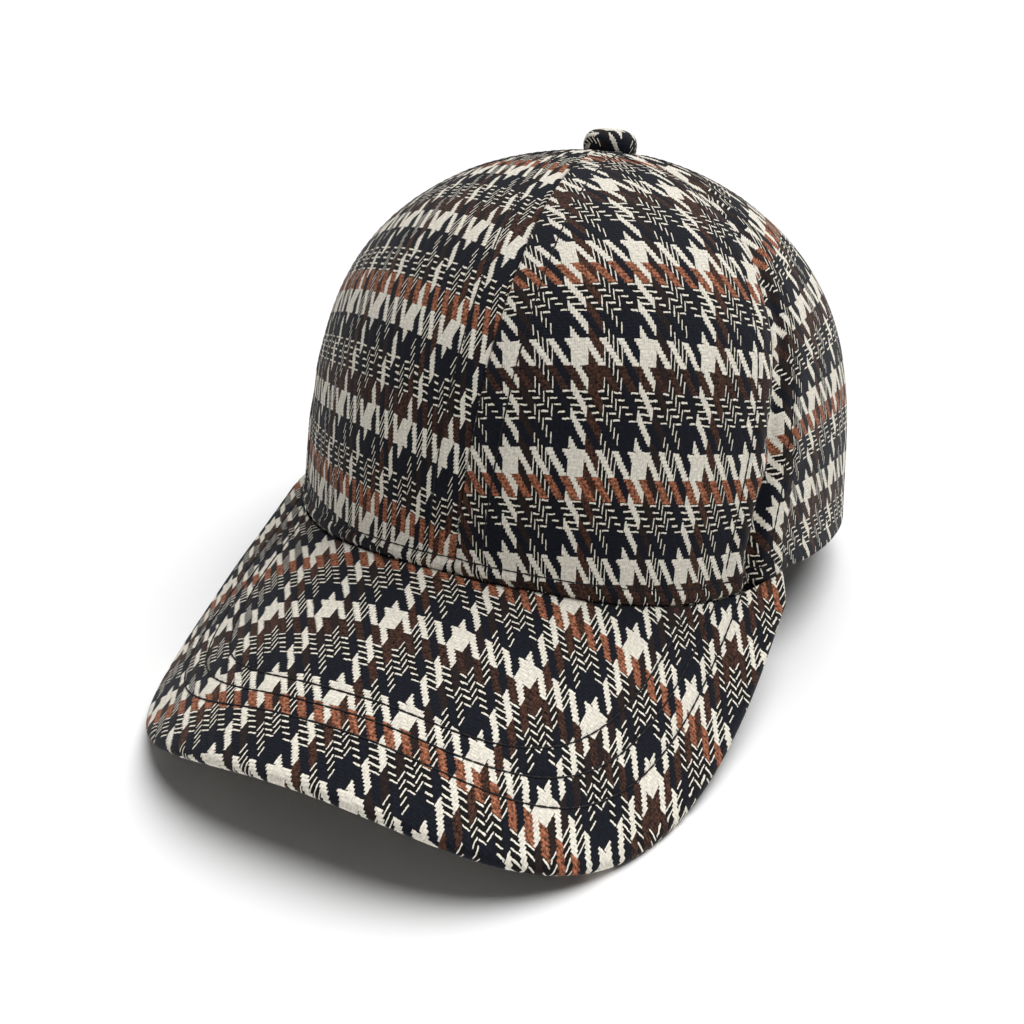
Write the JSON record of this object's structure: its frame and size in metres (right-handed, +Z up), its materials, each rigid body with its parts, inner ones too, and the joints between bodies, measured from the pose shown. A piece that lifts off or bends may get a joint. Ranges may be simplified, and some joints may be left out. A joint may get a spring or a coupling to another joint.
{
  "type": "houndstooth cap",
  "caption": "Panelled cloth cap with a curved covered brim and a covered button, in a traditional houndstooth check.",
  "frame": {"origin": "on the surface that the cap rests on, under the middle of its bounding box", "axes": "+Z up, the brim points to -Y, +X is the wearer's left"},
  "size_m": [0.1726, 0.2688, 0.1327],
  "materials": {
    "check_cloth": "woven check of navy, cream, black and brown wool",
    "brim_cloth": "the same woven check over a stiff board",
    "button_cloth": "the same woven check, gathered under"
  },
  "bodies": {
    "root": {"panel_front_left": "check_cloth", "panel_front_right": "check_cloth", "panel_side_left": "check_cloth", "panel_side_right": "check_cloth", "panel_back_left": "check_cloth", "panel_back_right": "check_cloth", "brim": "brim_cloth", "button": "button_cloth"}
  },
  "joints": []
}
